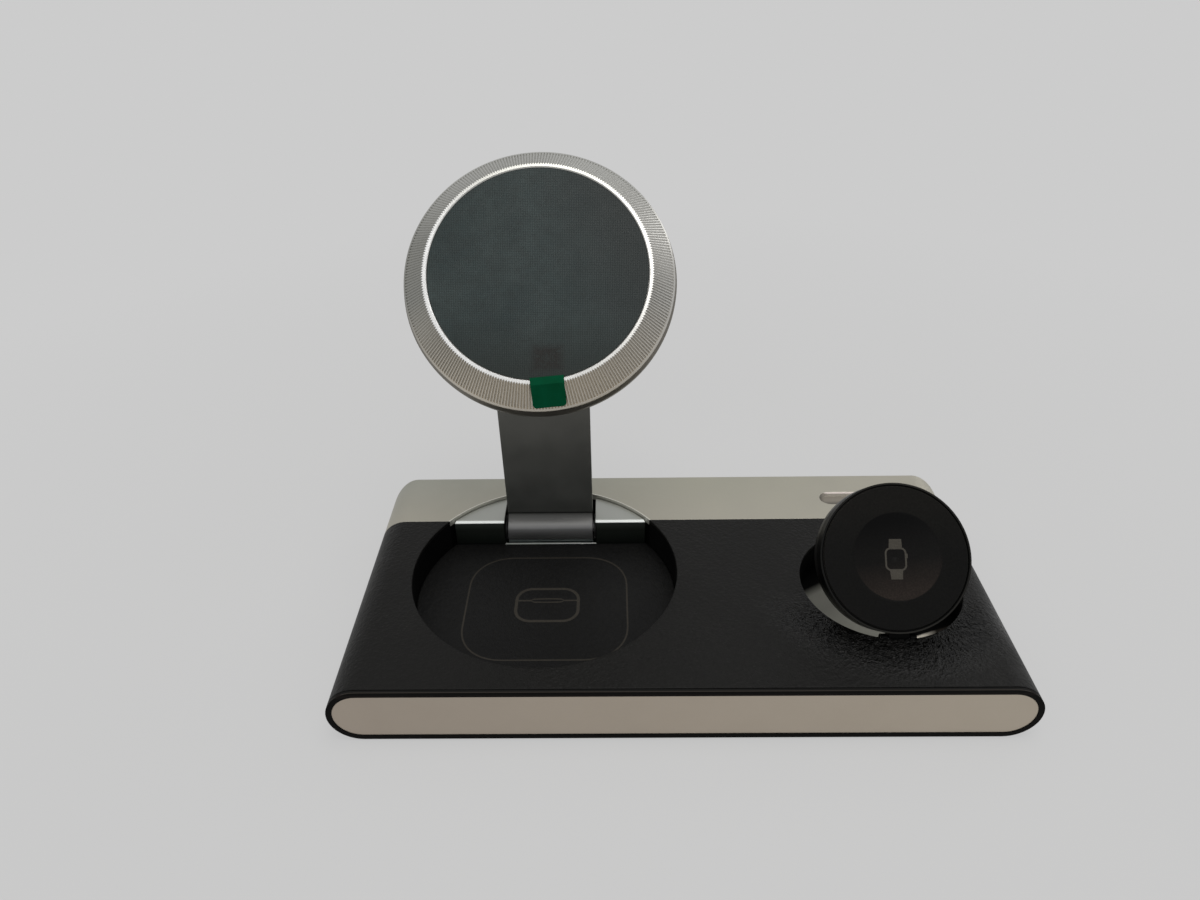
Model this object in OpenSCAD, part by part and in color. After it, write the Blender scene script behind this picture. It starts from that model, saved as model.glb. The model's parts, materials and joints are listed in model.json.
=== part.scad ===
// Folding wireless charging station: low base with an earbud place, a phone
// puck on a folding arm and a flip-up watch puck. Millimetres. X to the
// right, Y to the rear, Z up. Origin under the middle of the foot pad.

/* [Base] */
// Width of the base over its round ends
base_w = 160; // [156:1:176]
// Depth of the base, front face to rear
base_d = 81; // [80:0.5:84]
// Height of the base section (its ends are full half-rounds)
base_h = 15.2; // [15:0.1:16]
// Foot pad height showing under the base
foot_proud = 0.5; // [0.3:0.1:1]
// Length of the leather wrap, from the front face
leather_len = 60.87; // [60:0.1:61]
// Leather thickness
leather_t = 0.9; // [0.6:0.1:1.2]
// Black margin left around the front plate
plate_inset = 1.36; // [1:0.1:2]
// Plan radius of the two rear corners
corner_r = 7; // [4:0.5:9]
// Middle of the round place from the left end
nest_from_left = 47.2; // [45:0.1:49]
// Middle of the watch pocket from the right end
pocket_from_right = 28.4; // [26:0.1:30]
// Width of the shallow dish in the rear housing
dish_w = 5.8; // [4:0.1:7]
// Length of the shallow dish
dish_len = 17; // [12:0.5:20]

/* [Phone puck] */
// Outside radius of the ribbed ring
puck_r = 33.55; // [32.5:0.05:34]
// Radius of the charging pad opening
pad_r = 26.95; // [25:0.05:28]
// Width of the bright flat land around the pad
land_w = 1.11; // [0.6:0.01:1.3]
// Axial drop of the ribbed cone
cone_drop = 4.87; // [4.4:0.1:5.4]
// Number of radial grooves round the cone
groove_n = 276; // [180:12:300]
// Depth of each groove below the cone
groove_d = 0.24; // [0.15:0.01:0.28]
// Whole thickness of the puck
puck_t = 12.2; // [11.6:0.1:13]
// How far the dark shell bulges past the ring
shell_bulge = 0.5; // [0.2:0.05:0.55]
// Lean-back of the puck face from flat, degrees
puck_tilt = 46.93; // [40:0.5:52]
// Distance of the puck hinge in from the puck's lower edge
hinge_edge = 10.5; // [10:0.05:11.5]
// Distance of the puck hinge behind the puck back
hinge_back = 3.8; // [3.7:0.1:4.2]
// Gap around the folded puck in its round place
nest_gap = 0.39; // [0.35:0.01:0.6]
// Depth of the round place below the top
nest_depth = 9.1; // [8.8:0.1:9.2]

/* [Arm] */
// Width of the arm plate
arm_w = 23.8; // [20:0.1:25]
// Thickness of the arm plate
arm_t = 3.5; // [3:0.1:3.6]
// Forward lean of the hinge line at rest, degrees
arm_lean = 1.18; // [0:0.1:2]
// Radius of the foot barrel
foot_barrel_r = 4.45; // [4.2:0.05:4.5]
// Radius of the tip barrel
tip_barrel_r = 3.4; // [3:0.1:3.45]
// Radius of both arm hinge pins
pin_r = 1.5; // [1.2:0.1:1.7]

/* [Watch puck] */
// Outside radius of the watch puck
watch_r = 17.75; // [16.5:0.05:18]
// Thickness of the watch puck
watch_t = 7.5; // [6.5:0.1:7.7]
// Depth of its black front half
watch_front_t = 4; // [3.6:0.1:4.4]
// Radius of the shallow dish in the face
watch_dish_r = 10.4; // [9:0.1:11.5]
// Lean-back of the watch face from flat, degrees
watch_tilt = 48.2; // [40:0.5:55]
// Radius of the watch pocket
pocket_r = 19.75; // [19.7:0.05:20.2]
// Depth of the watch pocket
pocket_depth = 8.3; // [8.2:0.1:8.6]

/* [Hidden] */
$fn = 96;
// running clearances and fits
fit_run = 0.05;
fit_side = 0.25;
fit_seat = 0.05;
zb = foot_proud;
zt = zb + base_h;
zc = (zb + zt) / 2;
re = base_h / 2;
yf = -base_d / 2;
yr = base_d / 2;
leather_y = yf + leather_len;
fit_snug = 0.1;
fit_loose = 0.2;
flange_t = 0.9;
groove_w = 0.25;
plate_t = 1.0;
// foot pad and bottom cover
pad_t = 0.9;
pad_top = pad_t;
foot_end = 14;
foot_edge = 6.5;
foot_r = 7.8;
foot_w = base_w - 2 * foot_end;
foot_d = base_d - 2 * foot_edge;
cover_t = 1.4;
cover_top = pad_top + cover_t;
cover_end = 18;
cover_front = 8.5;
cover_rear = 3.37;
cover_r = 5;
cover_w = base_w - 2 * cover_end;
cover_y0 = yf + cover_front;
cover_y1 = leather_y - cover_rear;
// flat end wall of the wrapped core, ahead of its half-round ends
lower_end = 10;
lower_x = base_w / 2 - lower_end;
// screws: small ones in the cover and puck, larger ones in the housing
scr_r = 0.85;
scr_head_r = 2;
scr_head_t = 0.6;
scr_len = 2;
scr_edge_x = 6;
scr_edge_y = 4;
bolt_r = 1.05;
bolt_head_r = 2.2;
bolt_head_t = 0.8;
bolt_in = 6;
bolt_slack = 0.25;
// round place for the puck
nest_x = nest_from_left - base_w / 2;
nest_r = puck_r + nest_gap;
// the leather's edge crosses the round place at this share of its radius
nest_share = 0.57955;
nest_y = leather_y - nest_share * nest_r;
nest_z = zt - nest_depth;
liner_t = 0.8;
floor_web = 1.2;
// coil room under it, kept ahead of the rear housing
room_web = 0.4;
coil_room_r = leather_y - nest_y - room_web;
coil_hole = 7;
coil_t = 1;
sheet_t = 0.75;
coil_edge = 1.8;
// hinge bracket and lower hinge
cheek_back = 1.03;
cheek_y = leather_y + cheek_back;
cheek_drop = 1.0;
cheek_top = zt - cheek_drop;
cheek_cut = 0.6;
bracket_r = nest_r - fit_side;
seat_t = 2.5;
seat_z = zb + seat_t;
washer_t = 0.6;
washer_r = 3.7;
notch_w = arm_w + 2 * (washer_t + fit_side);
pin_back = 4.4;
pin_up = 2.7;
h1y = cheek_y + pin_back;
h1z = nest_z + pin_up;
trough_r = foot_barrel_r + 0.3;
pin_in = 4.05;
pin_half = notch_w / 2 + pin_in;
brk_side = 2.4;
brk_x = pin_half + brk_side;
brk_in = 3.4;
brk_y = cheek_y + brk_in;
// puck kinematics, folded first and then at rest
fold_gap = 0.25;
hinge_drop = puck_r - hinge_edge;
h2y_fold = nest_y - hinge_drop;
h2z_fold = cheek_top + fold_gap - hinge_back;
arm_len = sqrt(pow(h1y - h2y_fold, 2) + pow(h2z_fold - h1z, 2));
h2y = h1y - arm_len * sin(arm_lean);
h2z = h1z + arm_len * cos(arm_lean);
hinge_behind = puck_t + hinge_back;
py = h2y + hinge_drop * cos(puck_tilt) - hinge_behind * sin(puck_tilt);
pz = h2z + hinge_drop * sin(puck_tilt) + hinge_behind * cos(puck_tilt);
lug_t = 3.2;
lug_x = arm_w / 2 + fit_side;
lug_web = 4;
// arm plate: a little ahead of both hinge axes, with a blend above the barrel
arm_front = 0.32;
arm_tip_in = 0.33;
arm_blend_r = 3;
// puck section
land_r = pad_r + land_w;
land_edge = 0.25;
cone_slope = atan(cone_drop / (puck_r - land_r));
cone_run = sqrt(pow(cone_drop, 2) + pow(puck_r - land_r, 2));
cone_border = 0.6;
ring_foot = 0.73;
ring_z = -cone_drop - ring_foot;
ring_wall = 2.3;
shelf_z = -1.9;
shelf_w = 2.4;
shelf_t = 0.8;
pad_low = 0.45;
film_t = 0.2;
film_in = 0.1;
pad_in = 0.15;
shell_step = 0.15;
shell_top = puck_r - shell_step;
shell_r = puck_r + shell_bulge;
shell_wall = 2.5;
shell_back = 1.6;
shell_round = 4;
shell_slope = 1.6;
post_r = 2.1;
post_in = 1.65;
post_low = 1.9;
post_at = pad_r + post_in;
post_top = shelf_z - post_low;
board_post_at = 16;
board_post_r = 1.6;
pboard_t = 1.2;
pboard_low = 5;
pboard_hole = 5;
mag_t = 2;
mag_w = 3.8;
mag_in = 0.85;
mag_r = pad_r - mag_in;
mag_gap = 7;
pcoil_hole = 10;
pferr_r = mag_r - mag_w - 0.5;
pcoil_r = pferr_r - 0.3;
// pull tab of the film: width, thickness and height over the land
tab_w = 8.1;
tab_t = 0.2;
tab_up = 0.15;
tab_foot = 0.2;
tab_turn = 5;
tab_lap = 0.65;
tab_len = 6.55;
tab_round = 0.9;
tab_in = pad_r - tab_lap;
tab_out = tab_in + tab_len;
// watch puck kinematics
pocket_x = base_w / 2 - pocket_from_right;
pocket_rear = 25.76;
pocket_y = leather_y - pocket_rear;
pocket_z = zt - pocket_depth;
wplate_t = 0.8;
wh_front = 17.61;
wh_drop = 2.2;
wh_y = pocket_y - wh_front;
wh_z = zt - wh_drop;
wh_off = 19.1;
wh_back = 2.2;
wbar_r = 1.5;
wear_r = 1.35;
wear_t = 1.5;
wear_foot = 0.5;
wpin_r = 0.7;
wlug_w = 4.8;
wy = wh_y + wh_off * cos(watch_tilt) - wh_back * sin(watch_tilt);
wz = wh_z + wh_off * sin(watch_tilt) + wh_back * cos(watch_tilt);
wrim_w = 0.65;
wrim_up = 0.15;
wgroove_w = 0.25;
wgroove_d = 0.5;
wdish_d = 0.9;
wlip = 0.8;
wledge = 2;
wback_round = 1.2;
wfloor = 1.2;
wface_t = 2.2;
wcav_in = 2.6;
wcav_r = watch_r - wrim_w - wcav_in;
wferr_r = wcav_r - 0.5;
wferr_t = 0.9;
wcoil_r = wferr_r - 1;
wcoil_hole = 6;
wcoil_top = -2.3;
wmag_r = 4;
// board and inlet, in the room between the round place and the pocket
board_x = (nest_x + nest_r + pocket_x - pocket_r) / 2;
board_w = 22;
board_t = 1.2;
board_z = 7.4;
board_front = 6;
room_gap = 0.6;
room_front = 5;
room_roof = 3.1;
room_sill = 3.7;
rear_wall = 2.2;
rear_post = 2.4;
chips = [[-1, 34.5, 12, 12, 1.6], [1, 51.5, 12, 10, 2.3], [-5, 17.5, 6, 10, 2.8]];
stand_y = [12, 54];
usb_w = 8.9;
usb_h = 3.2;
usb_len = 7.8;
usb_wall = 0.3;
usb_floor = 0.8;
usb_in = 0.2;
usb_tongue_w = 6;
usb_tongue_t = 0.7;
usb_z = board_z + board_t + usb_h / 2;
// cover screws at the corners of the cover
screw_xy = [for (s = [-1, 1], y = [cover_y0 + scr_edge_y, cover_y1 - scr_edge_y])
    [s * (cover_w / 2 - scr_edge_x), y]];
// tongue of the core in the rear housing, with its two screws
tongue_start = 48;
tongue_end = 14;
tongue_x0 = base_w / 2 - tongue_start;
tongue_x1 = base_w / 2 - tongue_end;
tongue_d = 13;
tongue_up = 0.5;
tongue_h = 7.8;
tongue_edge = 6;
tongue_scr_in = 7;
tongue_scr_y = leather_y + tongue_scr_in;
// shallow dish in the rear housing
dish_depth = 0.9;
dish_slope = 0.9;
dish_start = 36.4;
dish_back = 10.7;
dish_x = base_w / 2 - dish_start;
dish_y = yr - dish_back;
// cutting tools run past what they cut by this much
over = 1;
far = 200;

dark = [0.07, 0.07, 0.075];
leather = [0.12, 0.12, 0.115];
silver = [0.66, 0.65, 0.63];
steel = [0.75, 0.75, 0.76];

// SHARED SHAPES

// stadium section across X, standing in XZ, run along Y from y0 to y1
module stadium(y0, y1, inset) {
    r = re - inset;
    translate([0, y1, zc]) rotate([90, 0, 0])
        linear_extrude(y1 - y0) {
            square([base_w - 2 * re, 2 * r], center = true);
            for (s = [-1, 1]) translate([s * (base_w / 2 - re), 0]) circle(r);
        }
}

module rounded_plate(w, d, r) {
    square([w - 2 * r, d], center = true);
    square([w, d - 2 * r], center = true);
    for (x = [-1, 1], y = [-1, 1])
        translate([x * (w / 2 - r), y * (d / 2 - r)]) circle(r);
}

// plan outline of the base with its rounded rear corners, inset all round
module plan(i) {
    w = base_w - 2 * i;
    r = corner_r - i;
    translate([-w / 2, yf - 1]) square([w, base_d + 1 - corner_r]);
    translate([-w / 2 + r, yf]) square([w - 2 * r, base_d - i]);
    for (s = [-1, 1]) translate([s * (w / 2 - r), yr - corner_r]) circle(r);
}

module x_rod(y, z, r, x0, x1) {
    translate([x0, y, z]) rotate([0, 90, 0]) cylinder(r = r, h = x1 - x0);
}

module disc(x, y, r, z0, z1) {
    translate([x, y, z0]) cylinder(r = r, h = z1 - z0);
}

// box by corners
module bx(x0, x1, y0, y1, z0, z1) {
    translate([x0, y0, z0]) cube([x1 - x0, y1 - y0, z1 - z0]);
}

module ring(r0, r1, z0, z1) {
    translate([0, 0, z0]) difference() {
        cylinder(r = r1, h = z1 - z0);
        translate([0, 0, -1]) cylinder(r = r0, h = z1 - z0 + 2);
    }
}

// side profile in YZ run along X
module side_run(x0, x1) {
    translate([x0, 0, 0]) rotate([90, 0, 90]) linear_extrude(x1 - x0) children();
}

// puck frame: face plane at local Z 0, local Y up the face
module on_puck() {
    translate([nest_x, py, pz]) rotate([puck_tilt, 0, 0]) children();
}

module on_watch() {
    translate([pocket_x, wy, wz]) rotate([watch_tilt, 0, 0]) children();
}

// BASE

module base_core() {
    color(dark) difference() {
        union() {
            stadium(yf, yf + flange_t, 0);
            stadium(yf + flange_t - 0.01, leather_y, leather_t + fit_seat);
            bx(-lower_x, lower_x, yf + flange_t - 0.01, leather_y, zb, zc);
            // tongue into the rear housing
            bx(tongue_x0, tongue_x1, leather_y - over, leather_y + tongue_d,
                seat_z + tongue_up, seat_z + tongue_up + tongue_h);
        }
        // front plate seat
        stadium(yf - over, yf + plate_t, plate_inset - fit_seat);
        // round place
        disc(nest_x, nest_y, nest_r, nest_z - liner_t, zt + over);
        // coil room under it
        disc(nest_x, nest_y, coil_room_r, pad_top, nest_z - liner_t - floor_web);
        // watch pocket
        disc(pocket_x, pocket_y, pocket_r, pocket_z - wplate_t, zt + over);
        // board room, open below and behind
        bx(board_x - board_w / 2 - room_gap, board_x + board_w / 2 + room_gap,
            yf + room_front, leather_y + over, pad_top, zt - room_roof);
        // cover and pad seats
        translate([0, 0, pad_top - 0.01]) linear_extrude(cover_t + 0.01) cover_plan(fit_snug);
        foot_seat();
        for (p = screw_xy) disc(p[0], p[1], scr_r, cover_top - over, cover_top + scr_len + 0.2);
        for (x = [tongue_x0 + tongue_edge, tongue_x1 - tongue_edge])
            disc(x, tongue_scr_y, bolt_r, seat_z, seat_z + bolt_in + 0.5);
    }
}

module cover_plan(g) {
    translate([0, (cover_y0 + cover_y1) / 2])
        rounded_plate(cover_w + 2 * g, cover_y1 - cover_y0 + 2 * g, cover_r);
}

module foot_seat() {
    translate([0, 0, zb - over]) linear_extrude(pad_top - zb + over)
        rounded_plate(foot_w + 2 * fit_loose, foot_d + 2 * fit_loose, foot_r + fit_loose);
}

// a screw from below: head at the well's roof, shank up to z1
module bolt(x, y, z1) {
    disc(x, y, bolt_head_r, pad_top + fit_snug, pad_top + fit_snug + bolt_head_t);
    disc(x, y, bolt_r, pad_top + bolt_head_t, z1);
}

module bolt_well(x, y) {
    disc(x, y, bolt_r + bolt_slack, zb, seat_z + over);
    disc(x, y, bolt_head_r + fit_snug, zb, pad_top + fit_snug + bolt_head_t);
}

module leather_wrap() {
    color(leather) difference() {
        stadium(yf + flange_t + groove_w, leather_y, 0);
        stadium(yf, leather_y + over, leather_t);
        bx(-lower_x - fit_seat, lower_x + fit_seat, yf, leather_y + over, zb - over, zc);
        disc(nest_x, nest_y, nest_r, zc, zt + over);
        disc(pocket_x, pocket_y, pocket_r, zc, zt + over);
    }
}

module front_plate() {
    color([0.57, 0.53, 0.49]) stadium(yf + fit_snug, yf + plate_t, plate_inset);
}

module rear_housing() {
    color(silver) difference() {
        intersection() {
            stadium(leather_y + fit_seat, yr, 0);
            translate([0, 0, zb - 1]) linear_extrude(base_h + 2) plan(0);
        }
        // step and bracket seat
        difference() {
            disc(nest_x, nest_y, nest_r, seat_z, zt + over);
            bx(-far, far, leather_y - over, cheek_y - fit_snug, seat_z - over, nest_z - liner_t);
        }
        // board room and inlet slot
        bx(board_x - board_w / 2 - room_gap, board_x + board_w / 2 + room_gap,
            leather_y - over, yr - rear_wall, zb + room_sill, zt - room_roof);
        usb_slot(fit_seat, yr - rear_wall - over, yr + over);
        // tongue seat
        bx(tongue_x0 - fit_seat, tongue_x1 + fit_seat, leather_y - over,
            leather_y + tongue_d + fit_loose, seat_z + tongue_up - fit_seat,
            seat_z + tongue_up + tongue_h + fit_seat);
        // shallow dish
        pill_dish();
        // foot pad seat and screw wells
        foot_seat();
        for (s = [-1, 1]) bolt_well(nest_x + s * brk_x, brk_y);
        for (x = [tongue_x0 + tongue_edge, tongue_x1 - tongue_edge]) bolt_well(x, tongue_scr_y);
    }
}

module pill_dish() {
    r = dish_w / 2;
    x0 = dish_x + r;
    x1 = dish_x + dish_len - r;
    for (x = [x0, x1]) translate([x, dish_y, zt - dish_depth])
        cylinder(r1 = r - dish_slope, r2 = r + 0.0001, h = dish_depth + 0.0001);
    side_run(x0, x1) translate([dish_y, zt - dish_depth])
        polygon([[-r + dish_slope, 0], [r - dish_slope, 0], [r, dish_depth],
            [r, dish_depth + over], [-r, dish_depth + over], [-r, dish_depth]]);
}

module usb_slot(g, y0, y1) {
    r = usb_h / 2 + g;
    translate([board_x, y1, usb_z]) rotate([90, 0, 0]) linear_extrude(y1 - y0) {
        square([usb_w - usb_h, 2 * r], center = true);
        for (s = [-1, 1]) translate([s * (usb_w - usb_h) / 2, 0]) circle(r);
    }
}

module usb_inlet() {
    color(steel) {
        difference() {
            usb_slot(0, yr - usb_in - usb_len, yr - usb_in);
            usb_slot(-usb_wall, yr - usb_in - usb_len + usb_floor, yr + over);
        }
        bx(board_x - usb_tongue_w / 2, board_x + usb_tongue_w / 2,
            yr - usb_in - usb_len + usb_floor - 0.3, yr - 7 * usb_in,
            usb_z - usb_tongue_t / 2, usb_z + usb_tongue_t / 2);
    }
}

module bottom_cover() {
    color(dark) difference() {
        translate([0, 0, pad_top]) linear_extrude(cover_t) cover_plan(0);
        for (p = screw_xy) {
            disc(p[0], p[1], scr_r + bolt_slack, pad_top - over, cover_top + over);
            disc(p[0], p[1], scr_head_r + fit_seat, pad_top - over, pad_top + fit_snug + scr_head_t);
        }
    }
}

module cover_screws() {
    color(steel) for (p = screw_xy) {
        disc(p[0], p[1], scr_head_r, pad_top + fit_snug, pad_top + fit_snug + scr_head_t);
        disc(p[0], p[1], scr_r, pad_top + scr_head_t, cover_top + scr_len);
    }
}

module foot_pad() {
    color([0.1, 0.1, 0.1]) linear_extrude(pad_t) rounded_plate(foot_w, foot_d, foot_r);
}

module nest_liner() {
    color(leather) difference() {
        disc(nest_x, nest_y, nest_r - fit_snug, nest_z - liner_t, nest_z);
        bx(-far, far, cheek_y - fit_snug, far, 0, zt);
    }
}

module hinge_bracket() {
    color(silver) difference() {
        disc(nest_x, nest_y, bracket_r, seat_z, cheek_top);
        // front plane of the cheeks with its small chamfer
        bx(-far, far, -far, cheek_y, 0, far);
        side_run(-far, far) polygon([[cheek_y - over, cheek_top - cheek_cut - over],
            [cheek_y + cheek_cut + over, cheek_top + over], [cheek_y - over, cheek_top + over]]);
        // arm notch down to the web, and the trough for the barrel
        bx(nest_x - notch_w / 2, nest_x + notch_w / 2, cheek_y - over, far, nest_z, far);
        x_rod(h1y, h1z, trough_r, nest_x - notch_w / 2, nest_x + notch_w / 2);
        // pin bore and screw holes
        x_rod(h1y, h1z, pin_r, nest_x - pin_half - fit_loose, nest_x + pin_half + fit_loose);
        for (s = [-1, 1])
            disc(nest_x + s * brk_x, brk_y, bolt_r, seat_z - over, seat_z + bolt_in + 0.5);
    }
}

module bracket_screws() {
    color(steel) for (s = [-1, 1]) bolt(nest_x + s * brk_x, brk_y, seat_z + bolt_in);
}

module arm_pin() {
    color(steel) x_rod(h1y, h1z, pin_r, nest_x - pin_half, nest_x + pin_half);
}

module friction_washers() {
    color([0.45, 0.4, 0.3]) for (s = [-1, 1])
        translate([nest_x + s * (notch_w - washer_t) / 2, h1y, h1z]) rotate([0, 90, 0])
            difference() {
                cylinder(r = washer_r, h = washer_t, center = true);
                cylinder(r = pin_r, h = washer_t + over, center = true);
            }
}

module housing_screws() {
    color(steel) for (x = [tongue_x0 + tongue_edge, tongue_x1 - tongue_edge])
        bolt(x, tongue_scr_y, seat_z + bolt_in);
}

module earbud_coil() {
    color([0.72, 0.38, 0.16]) translate([nest_x, nest_y, 0])
        ring(coil_hole, coil_room_r - coil_edge, cover_top + sheet_t, cover_top + sheet_t + coil_t);
}

module earbud_ferrite() {
    color([0.2, 0.2, 0.22])
        disc(nest_x, nest_y, coil_room_r - fit_snug - fit_loose, cover_top, cover_top + sheet_t);
}

module main_board() {
    top = board_z + board_t;
    color([0.04, 0.25, 0.12]) {
        bx(board_x - board_w / 2, board_x + board_w / 2,
            yf + board_front, yr - rear_wall - rear_post, board_z, top);
        for (c = chips) bx(board_x + c[0] - c[2] / 2, board_x + c[0] + c[2] / 2,
            yf + c[1] - c[3] / 2, yf + c[1] + c[3] / 2, top - 0.1, top - 0.1 + c[4]);
        for (y = stand_y) for (s = [-1, 1])
            translate([board_x + s * (board_w / 2 - 2), yf + y, cover_top])
                cylinder(r = board_t, h = board_z + 0.1 - cover_top);
    }
}

// WATCH POCKET

module pocket_plate() {
    color(silver) disc(pocket_x, pocket_y, pocket_r - fit_snug, pocket_z - wplate_t, pocket_z);
}

module watch_hinge_block() {
    w = wlug_w / 2 + fit_side + wear_t;
    color(dark) difference() {
        union() {
            bx(pocket_x - w, pocket_x + w, wh_y - wear_r, wh_y + wbar_r + wear_foot,
                pocket_z, pocket_z + wear_foot);
            for (s = [-1, 1]) {
                a = s < 0 ? pocket_x - w : pocket_x + w - wear_t;
                x_rod(wh_y, wh_z, wear_r, a, a + wear_t);
                bx(a, a + wear_t, wh_y - wear_r, wh_y + wear_r, pocket_z, wh_z);
            }
        }
        x_rod(wh_y, wh_z, wpin_r, pocket_x - w - over, pocket_x + w + over);
    }
}

module watch_pin() {
    w = wlug_w / 2 + fit_side + wear_t - fit_snug;
    color(steel) x_rod(wh_y, wh_z, wpin_r, pocket_x - w, pocket_x + w);
}

// ARM

module arm() {
    w = arm_w / 2;
    r = arm_blend_r;
    f = foot_barrel_r;
    fx = arm_front + r;
    fz = sqrt(pow(f + r, 2) - fx * fx);
    tip = tip_barrel_r - arm_tip_in;
    color([0.2, 0.2, 0.2]) difference() {
        translate([nest_x, h1y, h1z]) rotate([arm_lean, 0, 0]) union() {
            x_rod(0, 0, f, -w, w);
            x_rod(0, arm_len, tip_barrel_r, -w, w);
            side_run(-w, w) polygon([[-arm_front, 0], [-tip, arm_len],
                [-tip + arm_t, arm_len], [-arm_front + arm_t, 0]]);
            // concave blend above the barrel
            difference() {
                side_run(-w, w) polygon([[0, 0], [-f * fx / (f + r), f * fz / (f + r)],
                    [-arm_front - r * 0.05, fz], [0, fz]]);
                x_rod(-fx, fz, r, -w - over, w + over);
            }
        }
        x_rod(h1y, h1z, pin_r + fit_run, nest_x - w - over, nest_x + w + over);
        x_rod(h2y, h2z, pin_r + fit_run, nest_x - w - over, nest_x + w + over);
    }
}

module puck_pin() {
    w = lug_x + lug_t - fit_snug - fit_loose;
    color(steel) x_rod(h2y, h2z, pin_r, nest_x - w, nest_x + w);
}

// PHONE PUCK

module puck_shell() {
    zr = -puck_t;
    h = puck_t + ring_z;
    t = tip_barrel_r;
    color([0.13, 0.13, 0.13]) on_puck() difference() {
        union() {
            difference() {
                rotate_extrude() union() {
                    translate([0, zr]) square([shell_r - shell_round, h]);
                    polygon([[0, zr + shell_round], [shell_r, zr + shell_round],
                        [shell_r, ring_z - shell_slope], [shell_top, ring_z], [0, ring_z]]);
                    translate([shell_r - shell_round, zr + shell_round]) intersection() {
                        circle(shell_round);
                        translate([0, -shell_round]) square(shell_round);
                    }
                }
                disc(0, 0, shell_r - shell_wall, zr + shell_back, over);
            }
            for (a = [45:90:315]) rotate(a)
                disc(post_at, 0, post_r, zr + over, post_top);
            for (a = [0:120:240]) rotate(a)
                disc(board_post_at, 0, board_post_r, zr + over, shelf_z - pboard_low - pboard_t);
            // hinge lugs
            for (s = [-1, 1]) {
                a = s < 0 ? -lug_x - lug_t : lug_x;
                x_rod(-hinge_drop, -hinge_behind, t, a, a + lug_t);
                side_run(a, a + lug_t)
                    polygon([[-hinge_drop - t, -hinge_behind], [-hinge_drop + t, -hinge_behind],
                        [-hinge_drop + t + lug_web, zr + 0.3], [-hinge_drop - t, zr + 0.3]]);
            }
        }
        x_rod(-hinge_drop, -hinge_behind, pin_r + fit_run, -lug_x - lug_t - over, lug_x + lug_t + over);
        for (a = [45:90:315]) rotate(a) {
            disc(post_at, 0, scr_r + 0.15, zr - over, 0);
            disc(post_at, 0, scr_head_r - fit_snug, zr - over, zr + fit_snug + scr_len / 2);
        }
    }
}

module puck_screws() {
    color(steel) on_puck() for (a = [45:90:315]) rotate(a) {
        disc(post_at, 0, scr_head_r - fit_loose, -puck_t + fit_loose, -puck_t + fit_snug + scr_len / 2);
        disc(post_at, 0, scr_r, -puck_t + over, shelf_z - 0.4);
    }
}

// the ring: bright land inside, then a cone with fine radial grooves that
// notch the land's outer edge and stop short of a smooth border
module ribbed_ring() {
    color(silver) on_puck() difference() {
        rotate_extrude() polygon([[pad_r - shelf_w, shelf_z], [pad_r, shelf_z],
            [pad_r, -land_edge], [pad_r + land_edge, 0], [land_r, 0], [puck_r, -cone_drop],
            [puck_r, ring_z], [puck_r - ring_wall, ring_z], [pad_r + 0.6, shelf_z - shelf_t],
            [pad_r - shelf_w, shelf_z - shelf_t]]);
        for (i = [0:groove_n - 1]) rotate((i + 0.5) * 360 / groove_n) cone_groove();
        for (a = [45:90:315]) rotate(a) {
            disc(post_at, 0, scr_r, -puck_t, shelf_z - fit_loose);
            disc(post_at, 0, post_r + fit_snug, -puck_t, post_top + fit_seat);
        }
    }
}

// one V groove down the cone: a square bar on its edge, groove_d deep
module cone_groove() {
    side = 3 * groove_d;
    lift = side * sqrt(0.5) - groove_d;
    translate([land_r, 0, 0]) rotate([0, cone_slope, 0])
        translate([-2 * groove_d, 0, lift]) rotate([45, 0, 0])
            translate([0, -side / 2, -side / 2])
                cube([cone_run + 2 * groove_d - cone_border, side, side]);
}

module charge_pad() {
    color([0.17, 0.18, 0.185]) on_puck() disc(0, 0, pad_r - pad_in, shelf_z, -pad_low);
}

// the film is notched where the pull tab comes up over the land
module pad_film() {
    color([0.24, 0.26, 0.27]) on_puck() difference() {
        disc(0, 0, pad_r - film_in, -pad_low, -pad_low + film_t);
        on_tab() bx(-tab_w / 2 - fit_seat, tab_w / 2 + fit_seat,
            -puck_r, -tab_in + fit_seat, -over, over);
    }
}

module on_tab() {
    rotate(tab_turn) children();
}

module pull_tab() {
    k = cone_drop / (puck_r - land_r);
    y1 = land_r + fit_snug;
    z1 = tab_up - (tab_out - y1) * k;
    color([0.02, 0.32, 0.2]) on_puck() on_tab() intersection() {
        side_run(-tab_w, tab_w)
            polygon([[-tab_in, -pad_low], [-tab_in, tab_up + tab_t], [-y1, tab_up + tab_t],
                [-tab_out, z1 + tab_t], [-tab_out, z1], [-y1, tab_up],
                [-tab_in - tab_foot, tab_up], [-tab_in - tab_foot, -pad_low]]);
        translate([0, -tab_in - (tab_len - over) / 2 + 0.01, -puck_t]) linear_extrude(2 * puck_t)
            rounded_plate(tab_w, tab_len + over, tab_round);
    }
}

module magnet_ring() {
    z = shelf_z - shelf_t - fit_snug;
    color([0.6, 0.6, 0.62]) on_puck() difference() {
        ring(mag_r - mag_w, mag_r, z - mag_t, z);
        translate([0, -mag_r, z]) cube([mag_gap, 4 * mag_w, 3 * mag_t], center = true);
    }
}

module phone_coil() {
    z = shelf_z - fit_snug;
    color([0.72, 0.38, 0.16]) on_puck() ring(pcoil_hole, pcoil_r, z - coil_t, z);
}

module phone_ferrite() {
    z = shelf_z - fit_snug - coil_t;
    color([0.2, 0.2, 0.22]) on_puck() disc(0, 0, pferr_r, z - coil_t, z);
}

module puck_board() {
    z = shelf_z - pboard_low;
    color([0.04, 0.25, 0.12]) on_puck() difference() {
        disc(0, 0, pferr_r + fit_loose, z - pboard_t, z);
        disc(0, 0, pboard_hole, z - pboard_t - over, z + over);
    }
}

// WATCH PUCK

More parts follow.
